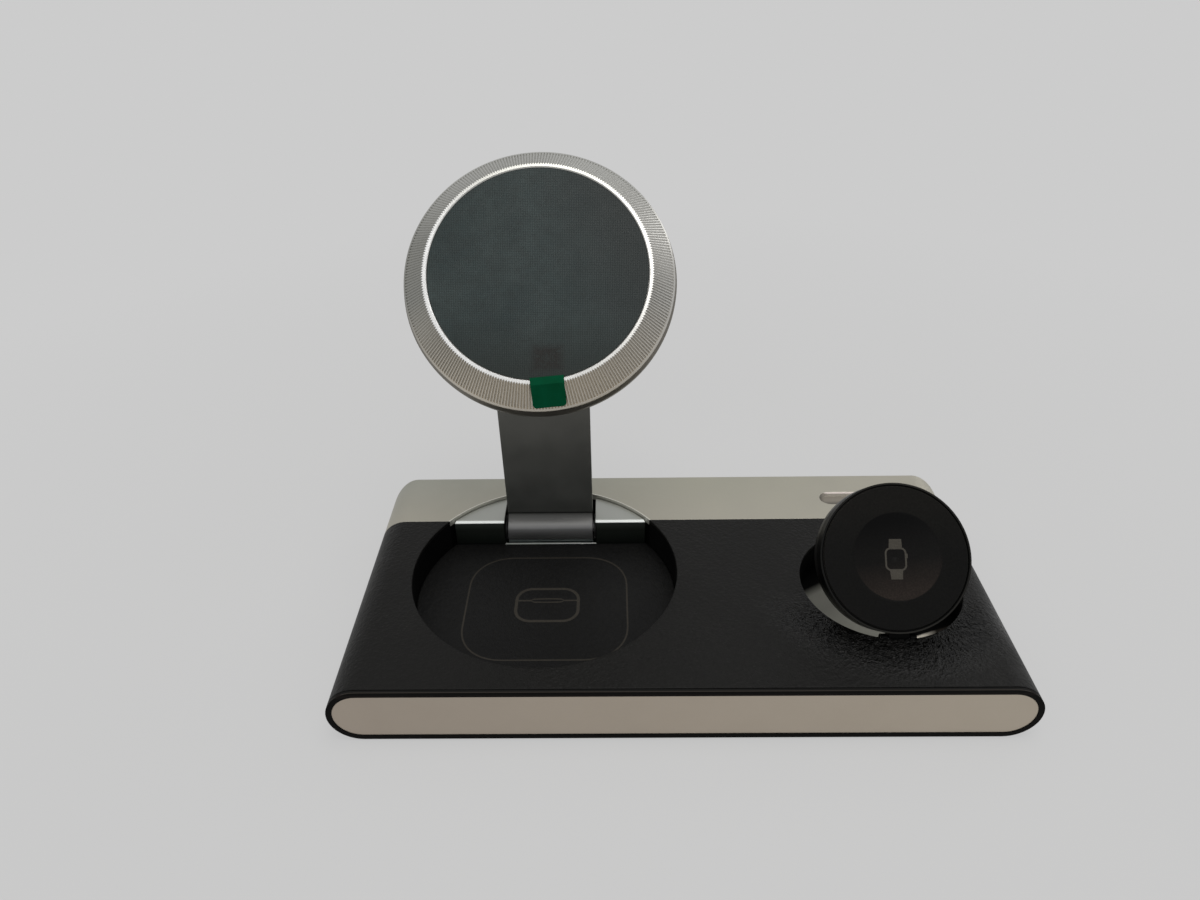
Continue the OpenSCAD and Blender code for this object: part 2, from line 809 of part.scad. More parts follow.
module watch_rim() {
    r = watch_r;
    color([0.1, 0.1, 0.1]) on_watch() difference() {
        union() {
            ring(r - wrim_w, r, -watch_front_t, -wrim_up);
            ring(r - wledge, r, -watch_front_t, -watch_front_t + wlip);
            x_rod(-wh_off, -wh_back, wbar_r, -wlug_w / 2, wlug_w / 2);
            bx(-wlug_w / 2, wlug_w / 2, -wh_off, -r + wlip, -wh_back - wbar_r, -wh_back + wbar_r);
        }
        disc(0, 0, r - wrim_w, -watch_front_t + wlip, over);
        x_rod(-wh_off, -wh_back, wpin_r + fit_run, -wlug_w, wlug_w);
    }
}

module watch_face() {
    r = watch_r - wrim_w;
    c = wdish_d;
    s = (watch_dish_r * watch_dish_r + c * c) / (2 * c);
    color([0.11, 0.11, 0.11]) on_watch() difference() {
        union() {
            disc(0, 0, r, -watch_front_t + wlip, -wgroove_d);
            disc(0, 0, r - wgroove_w, -wgroove_d - 0.1, 0);
        }
        translate([0, 0, s - c]) sphere(s, $fn = 128);
        disc(0, 0, wcav_r, -watch_front_t, -wface_t);
    }
}

module watch_back() {
    r = watch_r;
    q = wback_round;
    z = -watch_t;
    h = watch_t - watch_front_t;
    color(silver) on_watch() difference() {
        rotate_extrude() union() {
            translate([0, z]) square([r - q, h]);
            translate([0, z + q]) square([r, h - q]);
            translate([r - q, z + q]) intersection() {
                circle(q);
                translate([0, -q]) square(q);
            }
        }
        disc(0, 0, r - wledge, z + wfloor, over);
    }
}

module watch_coil() {
    color([0.72, 0.38, 0.16]) on_watch()
        ring(wcoil_hole, wcoil_r, wcoil_top - coil_t, wcoil_top);
}

module watch_ferrite() {
    z = wcoil_top - coil_t;
    color([0.2, 0.2, 0.22]) on_watch() ring(wmag_r + fit_loose, wferr_r, z - wferr_t, z);
}

module watch_magnet() {
    color([0.6, 0.6, 0.62]) on_watch()
        disc(0, 0, wmag_r, wcoil_top - coil_t - wferr_t - 0.4, -wface_t);
}

base_core();
leather_wrap();
front_plate();
rear_housing();
bottom_cover();
cover_screws();
foot_pad();
nest_liner();
hinge_bracket();
bracket_screws();
arm_pin();
friction_washers();
housing_screws();
earbud_coil();
earbud_ferrite();
main_board();
usb_inlet();
pocket_plate();
watch_hinge_block();
watch_pin();
arm();
puck_pin();
puck_shell();
puck_screws();
ribbed_ring();
charge_pad();
pad_film();
pull_tab();
magnet_ring();
phone_coil();
phone_ferrite();
puck_board();
watch_rim();
watch_face();
watch_back();
watch_coil();
watch_ferrite();
watch_magnet();
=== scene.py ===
import json
import math

import bmesh
import bpy
from mathutils import Matrix, Vector


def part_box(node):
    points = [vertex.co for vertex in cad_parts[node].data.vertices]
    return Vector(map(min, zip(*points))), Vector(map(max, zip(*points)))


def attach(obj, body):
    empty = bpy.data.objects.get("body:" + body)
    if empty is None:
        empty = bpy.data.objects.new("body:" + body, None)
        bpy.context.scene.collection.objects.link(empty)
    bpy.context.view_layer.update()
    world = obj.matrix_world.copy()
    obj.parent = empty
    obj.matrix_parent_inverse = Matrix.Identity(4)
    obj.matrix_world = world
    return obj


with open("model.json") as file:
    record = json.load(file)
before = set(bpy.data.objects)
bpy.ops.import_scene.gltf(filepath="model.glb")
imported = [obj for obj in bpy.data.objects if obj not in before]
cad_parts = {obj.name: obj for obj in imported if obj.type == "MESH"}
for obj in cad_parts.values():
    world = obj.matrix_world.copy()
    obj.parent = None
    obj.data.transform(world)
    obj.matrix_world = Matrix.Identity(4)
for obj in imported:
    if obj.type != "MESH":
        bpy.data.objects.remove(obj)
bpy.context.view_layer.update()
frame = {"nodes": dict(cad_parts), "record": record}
scene = bpy.context.scene

# Sizes and places are millimetres in the part's own frame; MM turns them into metres.
MM = 0.001


def mount(name):
    """Place and axis of one of the part's mounts."""
    found = next(m for m in frame["record"]["mounts"] if m["name"] == name)
    return Vector(found["pos_m"]) / MM, Vector(found["axis"])


def limits(node):
    """Lowest and highest corner of a CAD node."""
    return [Vector(corner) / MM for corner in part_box(node)]


# places taken from the frame
DISH_R, DISH_DEPTH = 10.4, 0.9
FACE_LIFT = 0.25
pad_at, pad_axis = mount("phone_face")
dish_at, dish_axis = mount("watch_dish")
PUCK_AT = pad_at + FACE_LIFT * pad_axis
PUCK_TILT = math.atan2(-pad_axis.y, pad_axis.z)
WATCH_AT = dish_at + DISH_DEPTH * dish_axis
WATCH_TILT = math.atan2(-dish_axis.y, dish_axis.z)
NEST = mount("earbud_floor")[0]
TOP = limits("rear_housing")[1].z
FRONT = limits("base_core")[0].y
CHEEK_TOP = limits("hinge_bracket")[1].z
POCKET_FRONT, POCKET_REAR = (corner.y for corner in limits("pocket_plate"))
POCKET_Y = (POCKET_FRONT + POCKET_REAR) / 2

# The photograph's camera, fitted to the edges of the base.
CAMERA_AT = Vector((-15.12, -170.06, 164.98))
PITCH, YAW, ROLL = (math.radians(angle) for angle in (33.482, -0.989, -1.059))
FOCAL_PX, PHOTO_W_PX = 871.76, 1200
SENSOR_W = 36


def make_camera():
    """Camera that looks down by PITCH, turned by YAW and rolled by ROLL."""
    ahead = Vector((math.sin(YAW) * math.cos(PITCH), math.cos(YAW) * math.cos(PITCH), -math.sin(PITCH)))
    level_right = Vector((math.cos(YAW), -math.sin(YAW), 0))
    level_up = level_right.cross(ahead)
    right = math.cos(ROLL) * level_right + math.sin(ROLL) * level_up
    up = -math.sin(ROLL) * level_right + math.cos(ROLL) * level_up
    data = bpy.data.cameras.new("camera")
    data.sensor_width = SENSOR_W
    data.lens = FOCAL_PX / PHOTO_W_PX * SENSOR_W
    data.clip_start, data.clip_end = 0.01, 20
    camera = bpy.data.objects.new("camera", data)
    scene.collection.objects.link(camera)
    turn = Matrix((right, up, -ahead)).transposed().to_4x4()
    camera.matrix_world = Matrix.Translation(CAMERA_AT * MM) @ turn
    return camera


scene.camera = make_camera()

# helpers for colours and node materials


def grey(value):
    return value, value, value


def scaled(colour, share):
    return tuple(c * share for c in colour)


class Mat:
    """Writes a node material; its coordinates are the object's own, in millimetres."""

    def __init__(self, name, color, rough=0.5, metal=0.0, **sockets):
        self.material = bpy.data.materials.new(name)
        self.material.use_nodes = True
        self.tree = self.material.node_tree
        self.shader = self.tree.nodes["Principled BSDF"]
        self.shader.inputs["Base Color"].default_value = (*color, 1)
        self.shader.inputs["Roughness"].default_value = rough
        self.shader.inputs["Metallic"].default_value = metal
        for socket, value in sockets.items():
            self.shader.inputs[socket.replace("_", " ")].default_value = value
        place = self.node("ShaderNodeTexCoord").outputs["Object"]
        in_mm = self.node("ShaderNodeVectorMath", operation="SCALE")
        in_mm.inputs["Scale"].default_value = 1 / MM
        self.link(place, in_mm.inputs[0])
        self.mm = in_mm.outputs["Vector"]
        self.normal = None

    def node(self, kind, **props):
        n = self.tree.nodes.new(kind)
        for name, value in props.items():
            setattr(n, name, value)
        return n

    def link(self, a, b):
        self.tree.links.new(a, b)

    def math(self, op, *values):
        n = self.node("ShaderNodeMath", operation=op)
        for socket, value in zip(n.inputs, values):
            if isinstance(value, (int, float)):
                socket.default_value = value
            else:
                self.link(value, socket)
        return n.outputs[0]

    def add(self, a, b):
        return self.math("ADD", a, b)

    def sub(self, a, b):
        return self.math("SUBTRACT", a, b)

    def mul(self, a, b):
        return self.math("MULTIPLY", a, b)

    def absolute(self, a):
        return self.math("ABSOLUTE", a)

    def far(self, x, y, cx=0.0, cy=0.0):
        """Distance of x, y from the point cx, cy."""
        dx, dy = self.sub(x, cx), self.sub(y, cy)
        return self.math("SQRT", self.add(self.mul(dx, dx), self.mul(dy, dy)))

    def noise(self, scale, detail=3, rough=0.5):
        n = self.node("ShaderNodeTexNoise")
        n.inputs["Scale"].default_value = scale
        n.inputs["Detail"].default_value = detail
        n.inputs["Roughness"].default_value = rough
        self.link(self.mm, n.inputs["Vector"])
        return n.outputs["Fac"]

    def cloud(self, scale, detail=3, rough=0.5, a=0.0, b=1.0):
        """Soft blotches from a to b; scale is their number in a millimetre."""
        return self.ramp(self.noise(scale, detail, rough), 0.3, 0.7, a, b)

    def voronoi(self, scale, feature, at):
        n = self.node("ShaderNodeTexVoronoi", feature=feature)
        n.inputs["Scale"].default_value = scale
        self.link(at, n.inputs["Vector"])
        return n.outputs["Distance"]

    def warp(self, scale, amount):
        """The object's coordinates, shifted by up to the given amount."""
        n = self.node("ShaderNodeTexNoise")
        n.inputs["Scale"].default_value = scale
        self.link(self.mm, n.inputs["Vector"])
        shifted = self.node("ShaderNodeVectorMath", operation="MULTIPLY_ADD")
        self.link(n.outputs["Color"], shifted.inputs[0])
        shifted.inputs[1].default_value = grey(amount)
        self.link(self.mm, shifted.inputs[2])
        return shifted.outputs["Vector"]

    def ramp(self, value, start, end, a=0.0, b=1.0):
        """From a at start to b at end; start may lie above end."""
        n = self.node("ShaderNodeMapRange", clamp=True)
        for name, v in (("From Min", start), ("From Max", end), ("To Min", a), ("To Max", b)):
            n.inputs[name].default_value = v
        self.link(value, n.inputs["Value"])
        return n.outputs["Result"]

    def stops(self, value, start, end, colours):
        """A colour run of (place, colour) stops along a value."""
        n = self.node("ShaderNodeValToRGB")
        elements = n.color_ramp.elements
        while len(elements) < len(colours):
            elements.new(0.5)
        for element, (at, colour) in zip(elements, colours):
            element.position = (at - start) / (end - start)
            element.color = (*colour, 1)
        self.link(self.ramp(value, start, end), n.inputs["Fac"])
        return n.outputs["Color"]

    def mix(self, share, a, b):
        """Colour a where share is 0, and b where it is 1."""
        n = self.node("ShaderNodeMix", data_type="RGBA")
        self.link(share, n.inputs[0])
        for socket, colour in ((6, a), (7, b)):
            if isinstance(colour, tuple):
                n.inputs[socket].default_value = (*colour, 1)
            else:
                self.link(colour, n.inputs[socket])
        return n.outputs[2]

    def color(self, out):
        self.link(out, self.shader.inputs["Base Color"])

    def rough(self, out):
        self.link(out, self.shader.inputs["Roughness"])

    def bevel(self, radius):
        """Round the shading of sharp edges; it comes before the bump."""
        n = self.node("ShaderNodeBevel", samples=6)
        n.inputs["Radius"].default_value = radius * MM
        self.set_normal(n)

    def bump(self, height, depth, strength):
        n = self.node("ShaderNodeBump")
        n.inputs["Strength"].default_value = strength
        n.inputs["Distance"].default_value = depth * MM
        self.link(height, n.inputs["Height"])
        if self.normal:
            self.link(self.normal, n.inputs["Normal"])
        self.set_normal(n)

    def set_normal(self, n):
        self.normal = n.outputs["Normal"]
        self.link(self.normal, self.shader.inputs["Normal"])

    def xyz(self, at=None):
        n = self.node("ShaderNodeSeparateXYZ")
        self.link(at or self.mm, n.inputs[0])
        return n.outputs

    def on_face(self, centre, tilt):
        """Coordinates in a puck's own frame: Z is the face's normal and Y runs up the face."""
        moved = self.node("ShaderNodeVectorMath", operation="SUBTRACT")
        moved.inputs[1].default_value = centre
        self.link(self.mm, moved.inputs[0])
        turned = self.node("ShaderNodeVectorRotate", rotation_type="X_AXIS")
        turned.inputs["Angle"].default_value = -tilt
        self.link(moved.outputs["Vector"], turned.inputs["Vector"])
        return self.xyz(turned.outputs["Vector"])

    def satin_grain(self, depth):
        """Fine grain of blasted metal."""
        self.bump(self.noise(9, 3, 0.7), depth, 0.7)

    def satin_gloss(self, a, b):
        """Roughness of blasted metal, cloudy between a and b."""
        return self.cloud(0.12, 4, 0.6, a, b)


# leather


def leather_material(name, base, sheen, level, deep, rear=1.0):
    """Embossed leather; the grain is deepest in front of the watch pocket, where painted shade also makes it
    darkest.
    """
    behind_centre = 1.49
    grain_full, grain_gone = 27.0, 35.0
    m = Mat(name, base, sheen, Specular_IOR_Level=level)
    m.bevel(0.55)
    x, y, _ = m.xyz()
    far = m.far(x, y, WATCH_AT.x, POCKET_Y + behind_centre)
    # shares of the grain in front of the pocket and at its right
    near = m.mul(m.ramp(far, grain_gone, grain_full), m.ramp(y, -8, -20))
    beside = m.mul(m.ramp(x, 60, 70), m.ramp(far, 40, 25))
    # the grain's height: cells of two sizes and a slow swell, deeper near the pocket
    shifted = m.warp(0.9, 0.5)
    cells = m.voronoi(1.2, "SMOOTH_F1", shifted)
    fine = m.voronoi(2.6, "F1", shifted)
    height = m.add(m.mul(cells, 0.75), m.mul(fine, 0.4))
    height = m.add(height, m.mul(m.noise(0.5, 4, 0.6), 0.3))
    depth = m.add(m.mul(near, 0.9), m.mul(beside, 0.4))
    depth = m.add(depth, m.ramp(m.noise(0.05, 2), 0.35, 0.65, 0.30, 0.5))
    m.bump(m.mul(height, depth), deep, 1.0)
    tone = m.mix(m.ramp(y, -20, 16), base, scaled(base, rear))
    tone = m.mix(m.mul(m.cloud(0.06, 2), 0.5), tone, scaled(base, 1.35))
    # painted shade: in front of the pocket the tone turns near black in blotches, in place of the puck's
    # dark shadow and reflection
    painted_puck_shade = m.mix(m.ramp(m.noise(1.5, 3, 0.7), 0.46, 0.6), grey(0.0001), (0.0125, 0.0122, 0.0115))
    tone = m.mix(near, tone, painted_puck_shade)
    m.color(m.mix(m.mul(m.ramp(cells, 0.1, 0.75), 0.5), tone, scaled(base, 0.5)))
    # painted shade: a metallic share takes the sheen off the dark grain in front of the pocket, where the
    # leather mirrors the dark puck
    painted_shade_share = m.mul(m.ramp(far, 31.0, 23.5), m.ramp(y, -10, -18))
    pits = m.ramp(m.noise(1.1, 3, 0.7), 0.40, 0.60, 1.0, 0.45)
    m.link(m.mul(painted_shade_share, pits), m.shader.inputs["Metallic"])
    m.rough(m.add(m.cloud(0.25, b=0.06), m.ramp(near, 0, 0.8, sheen, sheen * 0.42)))
    return m.material


# metals


def metal_material(name, base, rough, grain, edge):
    """Plain metal with slight clouds in tone and gloss."""
    m = Mat(name, base, rough, 1.0)
    m.bevel(edge)
    m.satin_grain(grain)
    m.rough(m.satin_gloss(rough - 0.05, rough + 0.05))
    m.color(m.mix(m.cloud(0.05), scaled(base, 0.96), scaled(base, 1.03)))
    return m.material


def housing_material():
    """Satin housing: a soft tone over its length, a painted highlight on the arc step, and the darker
    pill-shaped dish with painted shade and highlight on its edges.
    """
    arc_r, arc_z = 34.25, 14.0
    m = Mat("satin_silver", (0.46, 0.45, 0.385), 0.5, 1.0)
    m.bevel(0.18)
    x, y, z = m.xyz()
    warm = (0.475, 0.455, 0.39)
    tone = m.mix(m.ramp(x, -75, 10), (0.425, 0.425, 0.375), (0.455, 0.445, 0.375))
    tone = m.mix(m.ramp(y, 40, 22), tone, warm)
    tone = m.mix(m.ramp(x, 15, 60), tone, warm)
    # painted highlight on the step along the round place, and painted shade on the wall below it
    in_arc = m.math("LESS_THAN", m.far(x, y, NEST.x, NEST.y), arc_r)
    tone = m.mix(m.mul(in_arc, m.ramp(z, arc_z - 0.1, arc_z + 0.1)), tone, (0.72, 0.71, 0.64))
    tone = m.mix(m.mul(in_arc, m.ramp(z, arc_z + 0.05, arc_z - 0.15)), tone, (0.006, 0.007, 0.006))
    # dish: painted shade on its front edge and left end, a lighter floor, and a painted highlight on its
    # rear edge
    left, front, rear = 42.5, 26.5, 33.6
    dish = m.mul(m.math("GREATER_THAN", x, left), m.ramp(z, TOP - 0.04, TOP - 0.12))
    dish = m.mul(dish, m.math("GREATER_THAN", y, front))
    floor_tone = m.mix(m.ramp(y, front + 1.1, front + 3.1), (0.11, 0.105, 0.095), (0.30, 0.275, 0.235))
    floor_tone = m.mix(m.ramp(x, left + 1.1, left + 2.7), (0.15, 0.145, 0.13), floor_tone)
    floor_tone = m.mix(m.ramp(y, rear - 1.4, rear - 1.1), floor_tone, (0.85, 0.76, 0.72))
    m.color(m.mix(m.mul(dish, m.ramp(y, rear, rear - 0.3)), tone, floor_tone))
    m.satin_grain(0.012)
    m.rough(m.satin_gloss(0.46, 0.55))
    return m.material


def front_material():
    """Warm satin plate, painted a little lighter toward the right, where more light falls."""
    m = Mat("satin_front", (0.48, 0.42, 0.35), 0.42, 1.0)
    m.bevel(0.3)
    # painted light: the tone grows lighter toward the right
    to_right = m.ramp(m.xyz()[0], -70, 75)
    tone = m.mix(to_right, (0.450, 0.390, 0.325), (0.525, 0.462, 0.378))
    lighter = m.mix(to_right, (0.468, 0.405, 0.338), (0.540, 0.475, 0.39))
    m.color(m.mix(m.cloud(0.05), tone, lighter))
    m.satin_grain(0.012)
    m.rough(m.satin_gloss(0.37, 0.47))
    return m.material


def arm_material():
    """Dark anodised arm with a painted reflection that makes it a little lighter toward the top; its foot
    flows into the barrel, where soft bands of painted highlight and shade follow the curve.
    """
    foot_low, foot_top = 7.6, 15.6
    m = Mat("dark_anodised", (0.22, 0.216, 0.20), 0.5, 1.0)
    m.bevel(0.3)
    z = m.xyz()[2]
    # painted reflection: a little lighter toward the top
    tone = m.mix(m.ramp(z, 20, 70), (0.215, 0.220, 0.205), (0.26, 0.255, 0.23))
    # painted highlights and shade: soft bands of tone along the curve of the foot and barrel
    foot = m.stops(z, foot_low, foot_top, (
        (7.9, (0.10, 0.12, 0.12)), (8.7, grey(0.36)), (9.5, grey(0.24)), (10.8, grey(0.11)),
        (11.3, grey(0.085)), (12.0, grey(0.17)), (12.55, (0.245, 0.245, 0.24)),
        (13.15, (0.195, 0.195, 0.19)), (13.7, (0.095, 0.095, 0.092)), (14.4, (0.046, 0.046, 0.044)),
        (14.9, (0.075, 0.076, 0.072)), (15.4, (0.215, 0.22, 0.205))))
    m.color(m.mix(m.ramp(z, foot_top - 0.3, foot_top - 0.1), foot, tone))
    m.satin_grain(0.010)
    m.rough(m.add(m.satin_gloss(-0.04, 0.04), m.ramp(z, 15.0, 20.0, 0.46, 0.52)))
    return m.material


def pocket_material():
    """Floor of the watch pocket with painted light and shade: painted shade at its rear left, lighter to the
    front, and a bright sliver at its right.
    """
    edge_x, edge_y, edge_slope = 58.1, -16.5, 0.38
    m = Mat("pocket_silver", (0.2, 0.195, 0.175), 0.5, 1.0)
    m.bevel(0.15)
    x, y, _ = m.xyz()
    # painted shade of the puck at the rear left, and painted light growing toward the front
    along = m.add(m.mul(m.sub(x, 40.2), 0.52), m.mul(m.add(y, 5.7), -0.85))
    shade = m.mul(m.ramp(along, -5.6, -8.4), m.ramp(x, 48, 41))
    tone = m.mix(shade, (0.185, 0.183, 0.160), grey(0.003))
    tone = m.mix(m.ramp(along, 0.0, 9.0), tone, (0.31, 0.305, 0.265))
    # painted light and shade: right of the lug a bright sliver lies in front of a sloping edge of painted
    # shade and fades out to the right
    inner = m.sub(y, m.add(m.mul(m.sub(x, edge_x), edge_slope), edge_y))
    sliver = m.mix(m.ramp(x, 60.8, 64.6), (0.85, 0.79, 0.68), (0.03, 0.025, 0.02))
    sliver = m.mix(m.ramp(inner, -0.25, 0.25), sliver, grey(0.002))
    m.color(m.mix(m.mul(m.ramp(x, 51, 53.5), m.ramp(y, -1.0, -3.5)), tone, sliver))
    m.satin_grain(0.012)
    m.rough(m.satin_gloss(0.46, 0.55))
    return m.material


def ribbed_material():
    """Ribbed ring and its smooth bright land, with painted reflection: the ribs are darker at the left and
    warmer and lighter toward the bottom, and the land is brightest at the left and darker at the top.
    """
    m = Mat("ribbed_silver", (0.5, 0.49, 0.46), 0.38, 1.0)
    m.bevel(0.03)
    x, y, z = m.on_face(PUCK_AT, PUCK_TILT)
    land_from, land_full = -0.2, -0.12
    on_land = m.ramp(z, land_from, land_full)
    # painted reflection: the ribs' tone changes around the ring
    tone = m.mix(m.ramp(x, -30, 30), (0.35, 0.35, 0.325), (0.59, 0.58, 0.55))
    tone = m.mix(m.ramp(y, 8, 26), tone, (0.53, 0.53, 0.505))
    tone = m.mix(m.ramp(y, -6, -28), tone, (0.60, 0.555, 0.48))
    # painted reflection: the land's brightness changes around the ring
    land = m.mix(m.ramp(x, -14, 16), (0.98, 0.98, 0.97), (0.80, 0.79, 0.76))
    land = m.mix(m.ramp(y, 8, 24), land, (0.50, 0.50, 0.47))
    m.color(m.mix(on_land, tone, land))
    m.satin_grain(0.004)
    m.rough(m.add(m.ramp(m.cloud(0.5), 0, 1, -0.02, 0.02), m.ramp(on_land, 0, 1, 0.38, 0.26)))
    return m.material


def bracket_material():
    """Satin cheeks with a painted highlight on the chamfer over a dark front wall, and a painted highlight
    along the lip of the web.
    """
    cheek_inside, cheek_front, wall_top = 12.7, 21.9, 14.0
    lip_low, lip_top = 6.4, 6.75
    satin = (0.48, 0.49, 0.46)
    m = Mat("bracket_silver", satin, 0.5, 1.0)
    m.bevel(0.15)
    x, y, z = m.xyz()
    from_middle = m.absolute(m.sub(x, NEST.x))
    on_cheek = m.math("GREATER_THAN", from_middle, cheek_inside)
    at_front = m.mul(on_cheek, m.math("LESS_THAN", y, cheek_front))
    between = m.math("LESS_THAN", from_middle, cheek_inside + 0.25)
    # painted highlight on the cheeks' front chamfer
    tone = m.mix(m.mul(at_front, m.ramp(z, CHEEK_TOP, CHEEK_TOP - 0.2)), satin, (0.90, 0.93, 0.90))
    wall = m.mix(m.ramp(z, wall_top - 0.05, 11.5), (0.085, 0.098, 0.085), (0.034, 0.040, 0.034))
    wall = m.mix(m.ramp(z, 10.5, 6.6), wall, (0.014, 0.018, 0.015))
    tone = m.mix(m.mul(at_front, m.ramp(z, wall_top + 0.02, wall_top - 0.08)), tone, wall)
    tone = m.mix(m.mul(between, m.ramp(z, wall_top + 0.1, wall_top)), tone, (0.016, 0.018, 0.016))
    # painted highlight along the lip of the web
    lip = m.mul(m.math("LESS_THAN", z, lip_top), m.math("GREATER_THAN", z, lip_low))
    m.color(m.mix(m.mul(lip, between), tone, (0.95, 0.97, 0.93)))
    m.satin_grain(0.01)
    m.rough(m.add(m.satin_gloss(-0.03, 0.03), m.ramp(z, wall_top - 0.1, wall_top, 0.6, 0.5)))
    return m.material


def copper_material():
    """Copper winding."""
    m = Mat("copper_winding", (0.55, 0.22, 0.09), 0.35, 0.7)
    m.bump(m.noise(2.2, 1), 0.1, 0.6)
    m.color(m.mix(m.cloud(1.2, 2), (0.5, 0.19, 0.07), (0.62, 0.27, 0.11)))
    return m.material


# plastics, film and ink


def plastic_material(name, base, rough, grain=0.02, level=0.25):
    """Moulded plastic or rubber with a fine grain."""
    m = Mat(name, base, rough, Specular_IOR_Level=level)
    m.bevel(0.2)
    m.bump(m.noise(6, 4, 0.65), grain, 0.6)
    m.rough(m.cloud(0.3, a=rough - 0.05, b=rough + 0.07))
    m.color(m.mix(m.cloud(0.1), scaled(base, 0.9), scaled(base, 1.12)))
    return m.material


def core_material():
    """Black moulding; on the flange a painted highlight runs as a light line between the leather's edge and
    the dark band.
    """
    dark, light, mid = (0.0022, 0.0018, 0.0014), (0.034, 0.029, 0.025), (0.010, 0.0098, 0.0092)
    upper_from, upper_to = 14.2, 15.0
    m = Mat("core_black", (0.0028, 0.0028, 0.0029), 0.5, Specular_IOR_Level=0.05)
    m.bevel(0.08)
    _, y, z = m.xyz()
    m.bump(m.noise(6, 4, 0.65), 0.02, 0.6)
    m.rough(m.cloud(0.3, a=0.46, b=0.56))
    tone = m.mix(m.cloud(0.1), (0.0024, 0.0024, 0.0025), grey(0.0034))
    # painted highlight: the light line on the flange
    flange = m.stops(y, FRONT - 0.1, FRONT + 1.3, (
        (FRONT - 0.05, dark), (FRONT + 0.10, dark), (FRONT + 0.16, light),
        (FRONT + 0.34, light), (FRONT + 0.42, mid), (FRONT + 1.0, mid)))
    upper = m.mul(m.ramp(z, upper_to + 0.1, upper_to - 0.1), m.math("GREATER_THAN", z, upper_from))
    flange = m.mix(upper, flange, (0.0066, 0.0048, 0.0040))
    m.color(m.mix(m.ramp(y, FRONT + 1.15, FRONT + 1.05), tone, flange))
    return m.material


def watch_face_material():
    """Black face with a fine grain; its dish runs from painted shade at the top to a warm painted light at
    the bottom.
    """
    dish_x, dish_y, line_r = 0.5, 0.3, 16.75
    m = Mat("watch_face_black", (0.0045, 0.0043, 0.004), 0.42, Specular_IOR_Level=0.09)
    m.bevel(0.12)
    x, y, _ = m.on_face(WATCH_AT, WATCH_TILT)
    from_centre = m.far(x, y, dish_x, dish_y)
    tone = m.mix(m.ramp(y, 2, 13), (0.0042, 0.0041, 0.0038), (0.0068, 0.0063, 0.0054))
    # painted shade at the top of the dish and painted light toward its bottom
    down = m.sub(m.mul(m.sub(x, dish_x), 0.12), y)
    dish = m.mix(m.ramp(down, -8.5, -1.0), (0.0010, 0.0010, 0.0011), (0.0050, 0.0047, 0.0044))
    dish = m.mix(m.ramp(down, 0.5, 8.5), dish, (0.0200, 0.0150, 0.0125))
    # a painted highlight: a light line near the face's edge, fainter toward the bottom
    edge_highlight = m.mul(m.ramp(m.far(x, y), line_r, line_r + 0.15), m.ramp(y, -12, 12, 0.25, 1.0))
    tone = m.mix(edge_highlight, tone, (0.026, 0.024, 0.021))
    speckled = m.node("ShaderNodeVectorMath", operation="SCALE")
    m.link(m.mix(m.ramp(from_centre, DISH_R - 0.15, DISH_R + 0.1), dish, tone), speckled.inputs[0])
    m.link(m.ramp(m.noise(2.6, 2), 0.42, 0.62, 0.82, 1.18), speckled.inputs["Scale"])
    m.color(speckled.outputs["Vector"])
    m.bump(m.noise(3.2, 3, 0.6), 0.03, 0.7)
    m.rough(m.cloud(0.2, a=0.37, b=0.46))
    return m.material


def watch_rim_material():
    """Black rim: a black gap line inside, a soft painted sheen on its front land, and a black side wall."""
    gap_r = 17.34
    m = Mat("watch_rim_black", grey(0.004), 0.4, Specular_IOR_Level=0.05)
    m.bevel(0.2)
    x, y, z = m.on_face(WATCH_AT, WATCH_TILT)
    # painted sheen: the land is lighter toward its middle and darker at its left and right
    land = m.mix(m.ramp(x, -16, 0), (0.010, 0.010, 0.0095), (0.026, 0.025, 0.0225))
    land = m.mix(m.ramp(x, 2, 17), land, (0.017, 0.0165, 0.015))
    tone = m.mix(m.ramp(z, -0.55, -0.35), grey(0.0006), land)
    gap = m.mul(m.ramp(m.far(x, y), gap_r + 0.06, gap_r), m.ramp(z, -1.2, -1.0))
    m.color(m.mix(gap, tone, grey(0.0001)))
    m.bump(m.noise(6, 4, 0.6), 0.008, 0.6)
    m.rough(m.cloud(0.2, a=0.36, b=0.44))
    return m.material


